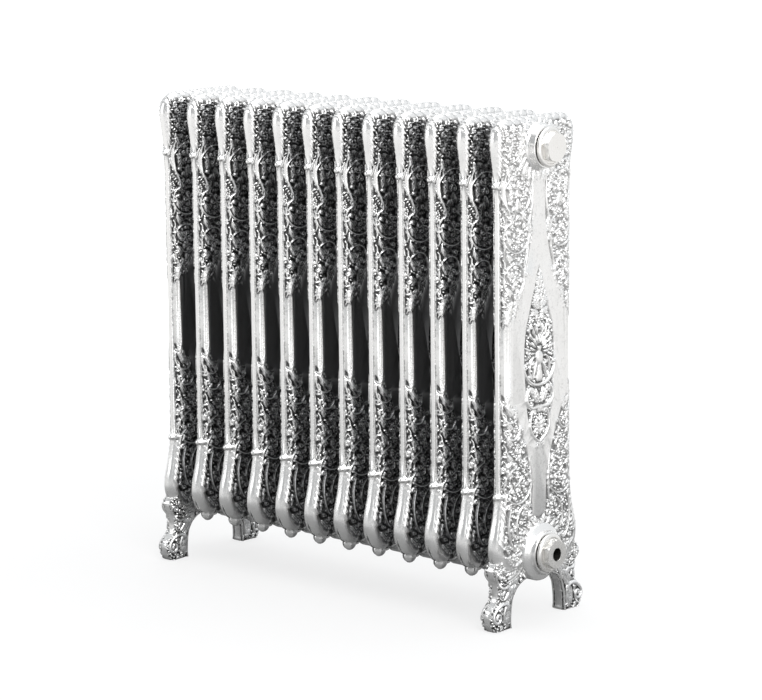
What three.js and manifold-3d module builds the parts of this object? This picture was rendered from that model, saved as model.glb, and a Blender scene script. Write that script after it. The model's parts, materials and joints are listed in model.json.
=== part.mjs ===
// A twelve-section ornamental cast iron radiator, in millimetres, +Z up.
// The sections stand in a row along +X and are screwed together by hidden nipples at a top and a bottom hub.
// The origin is on the floor, in the middle of the footprint. The front faces -Y and the back faces +Y.
import * as THREE from "three";
import { mergeVertices } from "three/addons/utils/BufferGeometryUtils.js";
import Module from "manifold-3d";

const wasm = await Module();
wasm.setup();

// Driving dimensions.
const SECTIONS = 12;
const PITCH = 64; // centre to centre of neighbouring sections
const HEIGHT = 790; // floor to the top of the sections
const BODY_BOTTOM = 79; // underside of a section, in its middle
const THICKNESS = 30; // across a section's broad faces
const RIB_WIDTH = 7; // flat rib round the edge of a section
const NOSE_DEPTH = 20; // from the rib back to where the broad face is flat
const HUB_FACE_GAP = 1; // between the machined faces of neighbouring hubs
const HUB_FACE_X = (PITCH - HUB_FACE_GAP) / 2; // hub face from the section's middle
const HUB_RADIUS = 33;
const COLLAR_SWEEP = 5; // length over which a collar narrows to its hub
const BOTTOM_HUB = { z: 110, collarRadius: 44, collarX: 20 };
const TOP_HUB = { z: 745, collarRadius: 37, collarX: 16 };
const HUBS = [BOTTOM_HUB, TOP_HUB];
const CLEARANCE = 0.3;
const THROUGH = PITCH; // reach of a cut either side of the middle, past both faces

// Pipe threads, as plain cylinders: 1 1/4 inch in the hubs, 1/2 inch in the valve bushes, 1/8 inch for the vent.
const HUB_THREAD_RADIUS = 21;
const VALVE_THREAD_RADIUS = 9.3;
const VENT_THREAD_RADIUS = 4.9;
const ROUND_SIDES = 12; // sides of every bore and thread, which share their facets' angles
const SMALL_SIDES = 6; // sides of drops and pinholes

const length = SECTIONS * PITCH;
const HALF_DEPTH = 85; // straight front edge from the middle plane

// Half of a section's side outline, as [distance from the middle plane, height], from underside to top.
const BODY_OUTLINE = [
  [0, BODY_BOTTOM], [70, 82], [88, 90], [101, 108], [101, 132], [87, 200], [HALF_DEPTH, 230],
  [HALF_DEPTH, 660], [89, 712], [95, 748], [93, 772], [84, 786], [70, 789], [0, HEIGHT],
];

// A leg's outline, from the toe's underside round the front, up into the body and down the inside of the arch.
// It starts below the floor line, where the casting is ground flat.
const LEG_OUTLINE = [
  [98, -6], [111, 6], [113, 22], [106, 34], [95, 44], [92, 66], [103, 85], [103, 98], [88, 112],
  [30, 112], [28, 70], [46, 65], [58, 55], [66, 30], [67, -6],
];
const LEG_THICKNESS = 26;
const LEG_ROUNDING = 8;

// The water chamber inside a section, with its corners cut.
const CHAMBER = { halfDepth: 77, bottom: 88, top: 780, corner: 26, halfThickness: 10.5, bevel: 8 };

const FINIAL = { y: 71, topRadius: 10.5, tipRadius: 7.9, tipZ: 71.5, topZ: 90, taper: 5 };

// three.js shapes lie in XY and extrude along Z. This turns them so that they lie in YZ and extrude along X.
const SHAPE_TO_SIDE = new THREE.Matrix4().makeBasis(
  new THREE.Vector3(0, 1, 0),
  new THREE.Vector3(0, 0, 1),
  new THREE.Vector3(1, 0, 0),
);

function toSolid(geometry) {
  const bare = geometry.clone();
  bare.deleteAttribute("normal");
  bare.deleteAttribute("uv");
  const merged = mergeVertices(bare, 1e-3);
  const vertProperties = new Float32Array(merged.attributes.position.array);
  const triVerts = new Uint32Array(merged.index.array);
  return new wasm.Manifold(new wasm.Mesh({ numProp: 3, vertProperties, triVerts }));
}

function toGeometry(solid) {
  const mesh = solid.getMesh();
  const stride = mesh.numProp;
  const positions = new Float32Array(mesh.numVert * 3);
  for (let i = 0; i < mesh.numVert; i++) {
    positions.set(mesh.vertProperties.subarray(i * stride, i * stride + 3), i * 3);
  }
  const geometry = new THREE.BufferGeometry();
  geometry.setAttribute("position", new THREE.BufferAttribute(positions, 3));
  geometry.setIndex(new THREE.BufferAttribute(mesh.triVerts, 1));
  return geometry;
}

// A closed polygon extruded along X and centred on X = 0, with its edge rounded by a quarter ellipse.
function sidePlate(points, thickness, bevelDepth, bevelThickness, bevelSegments) {
  const shape = new THREE.Shape(points.map(([y, z]) => new THREE.Vector2(y, z)));
  const depth = thickness - 2 * bevelThickness;
  const geometry = new THREE.ExtrudeGeometry(shape, {
    depth,
    bevelEnabled: true,
    bevelSize: bevelDepth,
    bevelOffset: -bevelDepth,
    bevelThickness,
    bevelSegments,
  });
  return geometry.translate(0, 0, -depth / 2).applyMatrix4(SHAPE_TO_SIDE);
}

// A solid of revolution about the X axis through (y 0, z 0). Each point is [x, radius], from one end to the other.
function turned(points, sides) {
  const profile = points.map(([x, radius]) => new THREE.Vector2(radius, x));
  return new THREE.LatheGeometry(profile, sides, Math.PI / sides).rotateZ(-Math.PI / 2);
}

function hexPrism(acrossFlats, from, to) {
  const radius = acrossFlats / Math.sqrt(3);
  return turned([[from, 0], [from, radius], [to, radius], [to, 0]], 6);
}

function cylinder(radius, from, to, sides) {
  return turned([[from, 0], [from, radius], [to, radius], [to, 0]], sides);
}

function mirrored(half) {
  const other = half.slice(1, -1).reverse().map(([y, z]) => [-y, z]);
  return [...half, ...other];
}

function chamberOutline() {
  const { halfDepth, bottom, top, corner } = CHAMBER;
  return mirrored([
    [0, bottom], [halfDepth - corner, bottom], [halfDepth, bottom + corner],
    [halfDepth, top - corner], [halfDepth - corner, top], [0, top],
  ]);
}

// Draws a plate's rounding as a pointed arch, which leaves the broad face smoothly and meets the rib at an angle.
function pointedNose(plate) {
  const rib = RIB_WIDTH / 2;
  const swell = THICKNESS / 2 - rib;
  const radius = (NOSE_DEPTH ** 2 + swell ** 2) / (2 * swell);
  const position = plate.attributes.position;
  for (let i = 0; i < position.count; i++) {
    const x = position.getX(i);
    const share = Math.min((Math.abs(x) - rib) / swell, 1);
    if (share <= 0) continue;
    const fromFlat = NOSE_DEPTH * Math.sqrt(1 - share ** 2);
    const arch = THICKNESS / 2 - radius + Math.sqrt(radius ** 2 - fromFlat ** 2);
    position.setX(i, Math.sign(x) * Math.max(arch, rib));
  }
  return plate;
}

function hubBoss({ z, collarRadius, collarX }) {
  const side = [
    [collarX, collarRadius], [collarX + COLLAR_SWEEP, HUB_RADIUS], [HUB_FACE_X, HUB_RADIUS], [HUB_FACE_X, 0],
  ];
  const otherSide = side.map(([x, radius]) => [-x, radius]).reverse();
  return toSolid(turned([...otherSide, ...side], ROUND_SIDES).translate(0, 0, z));
}

function hubBore({ z }) {
  return toSolid(cylinder(HUB_THREAD_RADIUS, -THROUGH, THROUGH, ROUND_SIDES).translate(0, 0, z));
}

// The drop under a nose, turned about the vertical.
function finial(side) {
  const { y, topRadius, tipRadius, tipZ, topZ, taper } = FINIAL;
  const profile = [[0, tipZ], [tipRadius, tipZ + taper], [topRadius, topZ - taper], [0, topZ]];
  const geometry = new THREE.LatheGeometry(profile.map(([r, z]) => new THREE.Vector2(r, z)), SMALL_SIDES);
  return toSolid(geometry.rotateX(Math.PI / 2).translate(0, side * y, 0));
}

function leg(side) {
  const points = LEG_OUTLINE.map(([y, z]) => [side * y, z]);
  const ordered = side > 0 ? points : points.reverse();
  const solid = toSolid(sidePlate(ordered, LEG_THICKNESS, LEG_ROUNDING, LEG_ROUNDING, 1));
  const underFloor = new THREE.BoxGeometry(HEIGHT, HEIGHT, HEIGHT).translate(0, 0, -HEIGHT / 2);
  return solid.subtract(toSolid(underFloor));
}

// One hollow casting: rounded body, four hub bosses, and either two legs or two finials under it.
function section(withLegs) {
  const body = sidePlate(mirrored(BODY_OUTLINE), THICKNESS, NOSE_DEPTH, (THICKNESS - RIB_WIDTH) / 2, 2);
  let casting = toSolid(pointedNose(body));
  for (const hub of HUBS) casting = casting.add(hubBoss(hub));
  for (const side of [-1, 1]) casting = casting.add(withLegs ? leg(side) : finial(side));
  const { halfThickness, bevel } = CHAMBER;
  const chamber = sidePlate(chamberOutline(), 2 * halfThickness, bevel, bevel, 1);
  casting = casting.subtract(toSolid(chamber));
  for (const hub of HUBS) casting = casting.subtract(hubBore(hub));
  return toGeometry(casting);
}

// A threaded tube that draws two hubs together, with two lugs inside for the joining key.
const NIPPLE = { length: 29, innerRadius: 16.5, lugDepth: 4, lugHalfAngle: Math.PI / 14 };

function nipple() {
  const outer = HUB_THREAD_RADIUS - CLEARANCE;
  const { innerRadius, lugDepth, lugHalfAngle } = NIPPLE;
  const point = (radius, angle) => new THREE.Vector2(radius * Math.cos(angle), radius * Math.sin(angle));
  const shape = new THREE.Shape();
  const hole = new THREE.Path();
  const bore = [];
  for (let i = 0; i < ROUND_SIDES; i++) {
    const angle = (2 * Math.PI * (i + 0.5)) / ROUND_SIDES;
    if (i === 0) shape.moveTo(...point(outer, angle));
    else shape.lineTo(...point(outer, angle));
    bore.push(point(innerRadius, angle));
    if (i % (ROUND_SIDES / 2) === ROUND_SIDES / 2 - 1) {
      const middle = angle + Math.PI / ROUND_SIDES;
      for (const offset of [-lugHalfAngle, lugHalfAngle]) {
        bore.push(point(innerRadius - lugDepth, middle + offset));
      }
    }
  }
  hole.setFromPoints(bore);
  shape.holes.push(hole);
  const geometry = new THREE.ExtrudeGeometry(shape, { depth: NIPPLE.length, bevelEnabled: false });
  return geometry.translate(0, 0, -NIPPLE.length / 2).applyMatrix4(SHAPE_TO_SIDE);
}

// End fittings are drawn for the +X end, with x = 0 at the hub's machined face.
const THREAD_DEPTH = 16;
const GASKET = { innerRadius: 21.5, outerRadius: 29, thickness: 1.5 };
const FLANGE = { from: 2 * CLEARANCE + GASKET.thickness, thickness: 5.5, radius: 31, chamfer: 1.5 };
const HEX = { acrossFlats: 43, thickness: 10.5 };
const FLANGE_END = FLANGE.from + FLANGE.thickness;
const FITTING_END = FLANGE_END + HEX.thickness;
const OVERLAP = 2; // how far bodies run into each other before they are joined

function gasket() {
  const { innerRadius, outerRadius, thickness } = GASKET;
  const ring = toSolid(cylinder(outerRadius, CLEARANCE, CLEARANCE + thickness, ROUND_SIDES));
  return toGeometry(ring.subtract(toSolid(cylinder(innerRadius, -THROUGH, THROUGH, ROUND_SIDES))));
}

function fittingBlank() {
  const { from, radius, chamfer } = FLANGE;
  const flange = turned([
    [from, 0], [from, radius], [FLANGE_END - chamfer, radius], [FLANGE_END, radius - chamfer], [FLANGE_END, 0],
  ], ROUND_SIDES * 2);
  const thread = cylinder(HUB_THREAD_RADIUS - CLEARANCE, -THREAD_DEPTH, from + OVERLAP, ROUND_SIDES);
  const hexagon = hexPrism(HEX.acrossFlats, FLANGE_END - OVERLAP, FITTING_END);
  return toSolid(flange).add(toSolid(thread)).add(toSolid(hexagon));
}

function valveBush() {
  const bore = toSolid(cylinder(VALVE_THREAD_RADIUS, -THROUGH, THROUGH, ROUND_SIDES));
  return toGeometry(fittingBlank().subtract(bore));
}

function blankPlug() {
  return toGeometry(fittingBlank());
}

// The vent sits in a round pocket in its bush, so that its end is level with the hexagon.
const VENT = {
  pocketRadius: 14, pocketFloor: 2.5,
  threadEnd: -8, portRadius: 1.2,
  collarEnd: 6, collarAcrossFlats: 14,
  neckRadius: 4.6, headRadius: 6.6,
  nozzleFrom: 6.4, nozzleTo: 12.6, nozzleInner: 5.1, nozzleOuter: 8.4,
  spoutTip: 1.8, spoutRoot: 2.2, spoutLength: 5, spoutBore: 0.9,
  headFrom: 13, headTo: 15.4,
  needleRadius: 2.6, needleBore: 3.2, needleFrom: -4, seatEnd: -1, needleTo: 12.4,
  squareRadius: 2.7, squareFrom: 11.4, squareTo: 17.6,
};

function ventBush() {
  const pocket = toSolid(cylinder(VENT.pocketRadius, VENT.pocketFloor, THROUGH, ROUND_SIDES));
  const bore = toSolid(cylinder(VENT_THREAD_RADIUS + CLEARANCE, -THROUGH, THROUGH, ROUND_SIDES));
  return toGeometry(fittingBlank().subtract(pocket).subtract(bore));
}

// The vent's fixed body: thread, hexagon collar, and a neck with a lip that holds the nozzle ring on.
function ventBody() {
  const seat = VENT.pocketFloor + CLEARANCE;
  const body = turned([
    [VENT.threadEnd, 0], [VENT.threadEnd, VENT_THREAD_RADIUS], [seat, VENT_THREAD_RADIUS],
    [seat, VENT.neckRadius], [VENT.headFrom, VENT.neckRadius],
    [VENT.headFrom, VENT.headRadius], [VENT.headTo, VENT.headRadius], [VENT.headTo, 0],
  ], ROUND_SIDES);
  const collar = hexPrism(VENT.collarAcrossFlats, seat, VENT.collarEnd);
  const bore = toSolid(cylinder(VENT.needleBore, VENT.needleFrom - CLEARANCE, THROUGH, ROUND_SIDES));
  const port = toSolid(cylinder(VENT.portRadius, -THROUGH, THROUGH, SMALL_SIDES));
  return toGeometry(toSolid(body).add(toSolid(collar)).subtract(bore).subtract(port));
}

// The ring turns on the neck so that its spout can be aimed.
function ventNozzle() {
  const { nozzleFrom, nozzleTo, nozzleInner, nozzleOuter, spoutTip, spoutRoot, spoutLength, spoutBore } = VENT;
  const ring = toSolid(cylinder(nozzleOuter, nozzleFrom, nozzleTo, ROUND_SIDES));
  const middle = (nozzleFrom + nozzleTo) / 2;
  const downwards = (radiusEnd, radiusStart, tubeLength) => new THREE
    .CylinderGeometry(radiusEnd, radiusStart, tubeLength, SMALL_SIDES)
    .rotateX(-Math.PI / 2);
  const spout = downwards(spoutTip, spoutRoot, spoutLength).translate(middle, 0, -nozzleOuter - 1);
  const hollow = downwards(spoutBore, spoutBore, 4 * spoutLength).translate(middle, 0, -nozzleOuter);
  const neckHole = cylinder(nozzleInner, nozzleFrom - OVERLAP, nozzleTo + OVERLAP, ROUND_SIDES);
  return toGeometry(ring.add(toSolid(spout)).subtract(toSolid(hollow)).subtract(toSolid(neckHole)));
}

// The needle closes on its seat inside the body, and a square key turns its end.
function ventNeedle() {
  const { needleRadius, needleFrom, seatEnd, needleTo, squareRadius, squareFrom, squareTo } = VENT;
  const spindle = turned([
    [needleFrom, 0], [seatEnd, needleRadius], [needleTo, needleRadius], [needleTo, 0],
  ], ROUND_SIDES);
  const square = cylinder(squareRadius, squareFrom, squareTo, 4);
  return toGeometry(toSolid(spindle).add(toSolid(square)));
}

const castIron = new THREE.MeshStandardMaterial({ color: 0x9c9b99, roughness: 0.35, metalness: 1 });
const darkIron = new THREE.MeshStandardMaterial({ color: 0x4a4a4b, roughness: 0.55, metalness: 1 });
const satinNickel = new THREE.MeshStandardMaterial({ color: 0xc9c7c2, roughness: 0.28, metalness: 1 });
const brass = new THREE.MeshStandardMaterial({ color: 0xb08d4a, roughness: 0.3, metalness: 1 });
const fibre = new THREE.MeshStandardMaterial({ color: 0x2c2d2e, roughness: 0.9, metalness: 0 });
const nylon = new THREE.MeshStandardMaterial({ color: 0xe9e7e0, roughness: 0.5, metalness: 0 });

const radiator = new THREE.Group();

function place(name, geometry, material, x, z, towards = 1) {
  const mesh = new THREE.Mesh(geometry, material);
  mesh.name = name;
  mesh.position.set(x, 0, z);
  if (towards < 0) mesh.rotation.z = Math.PI;
  radiator.add(mesh);
}

const twoDigits = (number) => String(number).padStart(2, "0");

const middleSection = section(false);
const legSection = section(true);
for (let i = 1; i <= SECTIONS; i++) {
  const x = (i - (SECTIONS + 1) / 2) * PITCH;
  const isEnd = i === 1 || i === SECTIONS;
  const name = isEnd ? `leg_section_${twoDigits(i)}` : `section_${twoDigits(i)}`;
  place(name, isEnd ? legSection : middleSection, castIron, x, 0);
}

const nippleGeometry = nipple();
for (let joint = 1; joint < SECTIONS; joint++) {
  const x = (joint - SECTIONS / 2) * PITCH;
  place(`bottom_nipple_${twoDigits(joint)}`, nippleGeometry, darkIron, x, BOTTOM_HUB.z);
  place(`top_nipple_${twoDigits(joint)}`, nippleGeometry, darkIron, x, TOP_HUB.z);
}

const hubFaceX = (length - HUB_FACE_GAP) / 2;
const gasketGeometry = gasket();
const valveGeometry = valveBush();
for (const [end, towards] of [["left", -1], ["right", 1]]) {
  place(`bottom_gasket_${end}`, gasketGeometry, fibre, towards * hubFaceX, BOTTOM_HUB.z, towards);
  place(`top_gasket_${end}`, gasketGeometry, fibre, towards * hubFaceX, TOP_HUB.z, towards);
  place(`valve_bush_${end}`, valveGeometry, satinNickel, towards * hubFaceX, BOTTOM_HUB.z, towards);
}
place("blank_plug", blankPlug(), satinNickel, hubFaceX, TOP_HUB.z);
place("vent_bush", ventBush(), satinNickel, -hubFaceX, TOP_HUB.z, -1);
place("vent_body", ventBody(), brass, -hubFaceX, TOP_HUB.z, -1);
place("vent_nozzle_ring", ventNozzle(), nylon, -hubFaceX, TOP_HUB.z, -1);
place("vent_needle", ventNeedle(), brass, -hubFaceX, TOP_HUB.z, -1);

export default radiator;
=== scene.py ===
"""The looks of an ornate cast iron radiator: burnished castings with relief, nickel fittings and an air vent.

Lengths in the modelling code are millimetres. Each mesh is turned to metres when it becomes an object.
A section is modelled as a solid on a grid of cells. Its scrolls and leaves come from a height map that is
laid over the broad face and wrapped round the edge, as a foundry pattern is carved.
"""

import json
import math

import bpy
import bmesh
import numpy as np
import openvdb
from mathutils import Matrix, Vector

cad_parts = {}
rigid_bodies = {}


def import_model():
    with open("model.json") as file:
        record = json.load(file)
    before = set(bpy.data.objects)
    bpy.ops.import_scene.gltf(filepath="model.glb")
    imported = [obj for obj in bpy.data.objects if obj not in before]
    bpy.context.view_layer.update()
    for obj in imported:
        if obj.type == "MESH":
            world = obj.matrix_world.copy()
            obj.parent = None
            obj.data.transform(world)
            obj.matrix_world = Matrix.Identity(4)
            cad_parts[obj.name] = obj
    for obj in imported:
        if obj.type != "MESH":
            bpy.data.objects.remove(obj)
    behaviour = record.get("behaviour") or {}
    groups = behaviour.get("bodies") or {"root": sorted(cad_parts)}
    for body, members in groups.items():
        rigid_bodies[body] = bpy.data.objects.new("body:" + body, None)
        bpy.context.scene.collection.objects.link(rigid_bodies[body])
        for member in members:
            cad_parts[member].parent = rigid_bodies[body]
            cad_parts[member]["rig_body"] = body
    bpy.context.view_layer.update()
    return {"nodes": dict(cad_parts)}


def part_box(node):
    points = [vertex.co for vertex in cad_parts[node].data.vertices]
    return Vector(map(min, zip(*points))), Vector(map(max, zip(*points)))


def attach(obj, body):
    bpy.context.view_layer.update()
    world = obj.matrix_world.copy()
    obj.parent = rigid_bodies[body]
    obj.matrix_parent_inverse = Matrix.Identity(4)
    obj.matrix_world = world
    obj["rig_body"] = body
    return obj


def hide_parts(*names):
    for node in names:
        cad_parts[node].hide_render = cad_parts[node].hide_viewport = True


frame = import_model()

MM = 0.001
CELL = 0.85
MIDDLE_FACES = 110_000
LEG_FACES = 180_000

# The casting, in millimetres.
HALF_THICKNESS = 15.0
RIB_HALF = 3.5
NOSE_DEPTH = 20.0  # from the rib back to where the broad face is flat
TOP = 790.0
HUB_HEIGHTS = (110.0, 745.0)
HUB_FACE = 31.5
HUB_BORE = 21.0
BEAD_HEIGHTS = (209.0, 691.0)
FINIAL_Y = 71.0
FINIAL_TOP = 90.0
LEG_HALF_THICKNESS = 13.0
LEG_ROUNDING = 5.5
LEG_RIB_HALF = LEG_HALF_THICKNESS - LEG_ROUNDING

# The fittings, in millimetres from the hub's face.
HUB_THREAD_RADIUS = 20.7
HUB_PITCH = 2.309
SPIGOT_END = -16.0
HEX_END = 18.1
HEX_FLATS = 43.0
PORT_RADIUS = 9.3
PORT_THREAD = 0.8
SHARP_ANGLE = 32.0  # degrees between faces from which an edge of a turned piece is sharp

# Where the outer hub faces of the two ends are, in metres.
NEAR_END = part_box("leg_section_12")[1].x
FAR_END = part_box("leg_section_01")[0].x

# Half of a middle section's outline, as [distance from the middle plane, height].
BODY_OUTLINE = [
    (0, 79), (44, 79), (60, 80), (72, 82), (82, 86.5), (90, 93.5), (96.5, 103), (100.5, 113), (102, 123),
    (101.5, 133), (99.5, 145), (96, 157), (92, 172), (88.5, 190), (86, 206), (85, 222), (85, 330),
    (85, 500), (85, 640), (85.2, 668), (86.5, 695), (89, 718), (92.5, 738), (94.7, 753), (94, 766),
    (90, 777), (82, 785), (70, 789), (50, 790), (0, 790),
]
# The part of it that is the front edge, from the belly up to the crown.
NOSE_LINE = np.array(BODY_OUTLINE[8:25], float)
# Half of the legs and the arch between them.
LEG_OUTLINE = [
    (0, 71), (18, 71.5), (34, 69), (47, 63), (56, 55.5), (61, 47), (64, 36), (66, 22), (66.5, 8), (66, -12),
    (96, -12), (106, 2), (112, 14), (112, 25), (107, 34), (100, 40), (95, 47), (93, 56), (93, 66), (95, 76),
    (101, 84), (104, 92), (102, 101), (95, 107), (84, 112), (40, 118), (0, 118),
]
LEG_TOP = 130.0

# The height map, in millimetres above the smooth casting.
MAP_STEP = 0.5
GROUND = -1.5
BARE = GROUND * 0.8
CARTOUCHE_GROUND = -2.3
CURL_STEPS = 22
LEAF_STEPS = 24
PETALS = 5
SPRIG_SIZES = (8.5, 7, 5.5, 4.4, 3.2, 2.3)
SPRIG_TRIES = 900
PLAIN = 0.6  # the relief that beads, buds and hubs count as


def rounding(half_thickness, depth, rib_half):
    """The arc from a flat face to a rib: its radius, and how far a map goes past the outline over the rib."""
    swell = half_thickness - rib_half
    radius = (depth**2 + swell**2) / (2 * swell)
    return radius, radius * math.asin(depth / radius) + rib_half - depth


EDGE_REACH = rounding(HALF_THICKNESS, NOSE_DEPTH, RIB_HALF)[1]
LEG_REACH = rounding(LEG_HALF_THICKNESS, LEG_ROUNDING, LEG_RIB_HALF)[1]


def smooth(low, high, value):
    """0 below low, 1 above high, and a smooth rise between them."""
    t = np.clip((value - low) / (high - low), 0, 1)
    return t * t * (3 - 2 * t)


def fall(low, high, value):
    """1 below low, 0 above high, and a smooth fall between them."""
    return 1 - smooth(low, high, value)


def toward(angle):
    """The unit vector at an angle in radians."""
    return np.array([math.cos(angle), math.sin(angle)])


def unit(vector):
    return vector / max(np.linalg.norm(vector), 1e-6)


def left_of(vector):
    """The vector after a quarter turn to the left."""
    return np.array([-vector[1], vector[0]])


def soft_max(a, b, blend):
    """The larger of two fields, with a fillet where they meet."""
    near = np.clip(0.5 + 0.5 * (a - b) / blend, 0, 1)
    return b + (a - b) * near + blend * near * (1 - near)


def soft_min(a, b, blend):
    return -soft_max(-a, -b, blend)


def curve_through(points, per_span=6):
    """A smooth curve through the points (Catmull-Rom)."""
    p = np.array(points, float)
    p = np.vstack([2 * p[0] - p[1], p, 2 * p[-1] - p[-2]])
    out = []
    for i in range(1, len(p) - 2):
        a, b, c, d = p[i - 1 : i + 3]
        for t in np.arange(per_span) / per_span:
            bend = (2 * a - 5 * b + 4 * c - d) * t**2 + (3 * b - a - 3 * c + d) * t**3
            out.append(0.5 * (2 * b + (c - a) * t + bend))
    return np.array(out + [p[-2]])


def bezier(points, count=12):
    """A Bezier curve with any number of control points."""
    t = np.linspace(0, 1, count)[:, None]
    layer = [np.asarray(p, float)[None, :] for p in points]
    while len(layer) > 1:
        layer = [a * (1 - t) + b * t for a, b in zip(layer[:-1], layer[1:])]
    return layer[0]


def mirrored(half):
    """Closes half of an outline with its mirror image."""
    half = np.asarray(half)
    return np.vstack([half, (half * (-1, 1))[-2:0:-1]])


def closed(outline):
    """The whole outline as a smooth curve, from the points of one half."""
    return mirrored(curve_through(outline))


def outline_distance(polygon, u, v):
    """Distance to a closed polygon, positive inside. u and v are a column and a row of a grid."""
    u, v = u[:, None], v[None, :]
    nearest = np.full(np.broadcast_shapes(u.shape, v.shape), np.inf)
    inside = np.zeros(nearest.shape, bool)
    for (au, av), (bu, bv) in zip(polygon, np.roll(polygon, -1, axis=0)):
        du, dv = bu - au, bv - av
        along = np.clip(((u - au) * du + (v - av) * dv) / max(du * du + dv * dv, 1e-9), 0, 1)
        gap = (u - au - along * du) ** 2 + (v - av - along * dv) ** 2
        nearest = np.minimum(nearest, gap)
        if av != bv:
            crosses = (av > v) != (bv > v)
            inside ^= crosses & (u < au + (v - av) * du / dv)
    return np.where(inside, 1, -1) * np.sqrt(nearest)


class HeightMap:
    """Relief over half of a broad face, from its middle (u = 0) out past its edge.

    v is the height above the floor. A side is 1 for left of the way a line runs and -1 for right of it.
    """

    def __init__(self, u_span, v_span, outline):
        self.u = np.arange(*u_span, MAP_STEP)
        self.v = np.arange(*v_span, MAP_STEP)
        self.relief = np.zeros((len(self.u), len(self.v)))
        self.cuts = np.zeros_like(self.relief)
        self.depth = outline_distance(closed(outline), self.u, self.v)

    def window(self, low, high):
        """The slices and grid coordinates of a box of the map."""
        i0, i1 = np.searchsorted(self.u, (low[0], high[0]))
        j0, j1 = np.searchsorted(self.v, (low[1], high[1]))
        place = (slice(i0, i1 + 1), slice(j0, j1 + 1))
        return place, self.u[place[0], None], self.v[None, place[1]]

    def stroke(self, points, widths, heights, cut=False):
        """A rounded ridge or groove along points. Its half widths and heights are spread evenly along it."""
        points = np.asarray(points, float)
        spread = np.linspace(0, 1, len(points))
        widths = np.interp(spread, np.linspace(0, 1, len(widths)), widths)
        heights = np.interp(spread, np.linspace(0, 1, len(heights)), heights)
        for i in range(len(points) - 1):
            a, step = points[i], points[i + 1] - points[i]
            reach = max(widths[i], widths[i + 1])
            low, high = np.minimum(a, a + step) - reach, np.maximum(a, a + step) + reach
            place, u, v = self.window(low, high)
            u, v = u - a[0], v - a[1]
            along = np.clip((u * step[0] + v * step[1]) / max(step @ step, 1e-9), 0, 1)
            width = widths[i] + (widths[i + 1] - widths[i]) * along
            height = heights[i] + (heights[i + 1] - heights[i]) * along
            gap = (u - along * step[0]) ** 2 + (v - along * step[1]) ** 2
            bump = np.sqrt(np.clip(1 - gap / width**2, 0, 1))
            if cut:
                self.cuts[place] = np.maximum(self.cuts[place], height * bump)
            else:
                raised = np.where(bump > 0, GROUND + (height - GROUND) * bump, -np.inf)
                self.relief[place] = np.maximum(self.relief[place], raised)

    def curve(self, controls, steps, widths, heights, cut=False):
        """A stroke along a Bezier curve."""
        self.stroke(bezier(controls, steps), widths, heights, cut)

    def bead(self, centre, radius, height=1.6):
        self.stroke([centre, centre], [radius], [height])

    def sink(self, outline, level=GROUND, ramp=4.0):
        """Lowers the inside of an outline to the ground level."""
        inside = smooth(0, ramp, outline_distance(np.array(outline, float), self.u, self.v))
        self.relief += (level - self.relief) * inside

    def curl(self, point, heading, radius, side, width, height=1.5, turns=1.15):
        """A spiral that carries on from point in the direction heading (radians) and winds inwards."""
        to_centre = heading + side * math.pi / 2
        centre = point + radius * toward(to_centre)
        t = np.linspace(0, 1, CURL_STEPS)
        angle = to_centre + math.pi + side * 2 * math.pi * turns * t
        size = radius * (1 - 0.74 * t)
        spiral = centre + np.stack([size * np.cos(angle), size * np.sin(angle)], 1)
        self.stroke(spiral, [width, width * 0.9, width * 0.6], [height, height * 1.1])
        self.bead(spiral[-1], radius * 0.26 + width * 0.3, height * 1.25)

    def curled_line(self, path, curls, width, height, swell):
        """A swelling line with a curl at each end. curls holds (radius, side) for both ends, or None."""
        self.stroke(path, [width, width * swell, width], [height, height * 1.15, height])
        for curl, (end, before) in zip(curls, (path[:2], path[:-3:-1])):
            if curl:
                heading = math.atan2(end[1] - before[1], end[0] - before[0])
                self.curl(end, heading, *curl, width, height)

    def scroll(self, controls, curls, width=1.8, height=1.4, swell=1.35):
        """A curled line along a Bezier curve. Returns the curve's points."""
        path = bezier(controls, 20)
        self.curled_line(path, curls, width, height, swell)
        return path

    def leaf(self, root, tip, width, bend=0.0, lobes=5, height=1.5):
        """An acanthus leaf: a rib with pointed lobes that lean towards its tip."""
        root, tip = np.asarray(root, float), np.asarray(tip, float)
        middle = (root + tip) / 2 + left_of(unit(tip - root)) * bend * 2
        spine = bezier([root, middle, tip], LEAF_STEPS)
        for i in range(lobes):
            place = 0.05 + 0.8 * i / lobes
            k = int(place * (LEAF_STEPS - 2))
            ahead = unit(spine[k + 1] - spine[k])
            reach = width * math.sin(math.pi * (0.22 + 0.66 * place))
            for out in (-left_of(ahead), left_of(ahead)):
                bulge = spine[k] + (0.35 * ahead + 0.62 * out) * reach
                end = spine[k] + (1.15 * ahead + 0.86 * out) * reach
                self.curve([spine[k], bulge, end], 5, [0.8, reach * 0.3, 0.5], [height * 0.5, height, 0.4])
        widths = [width * 0.16 + 0.5, width * 0.12 + 0.5, 0.5]
        self.stroke(spine, widths, [height * 1.1, height * 1.1, height * 0.6])

    def flower(self, centre, radius, turn, height=1.8):
        for i in range(PETALS):
            out = toward(turn + 2 * math.pi * i / PETALS)
            petal = [centre + out * radius * 0.3, centre + out * radius * 0.72]
            self.stroke(petal, [radius * 0.14, radius * 0.26], [height * 0.7, height])
        self.bead(centre, radius * 0.24, height * 1.3)

    def fringe(self, path, side, count, length, height=1.2):
        """Small pointed leaves along one side of a path."""
        for place in np.linspace(0.08, 0.92, count):
            k = min(int(place * (len(path) - 1)), len(path) - 2)
            ahead = unit(path[k + 1] - path[k])
            out = side * left_of(ahead)
            bulge, end = path[k] + out * length * 0.7, path[k] + (0.7 * ahead + out) * length
            self.curve([path[k], bulge, end], 5, [1.0, 1.5, 0.4], [height, height, 0.3])

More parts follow.
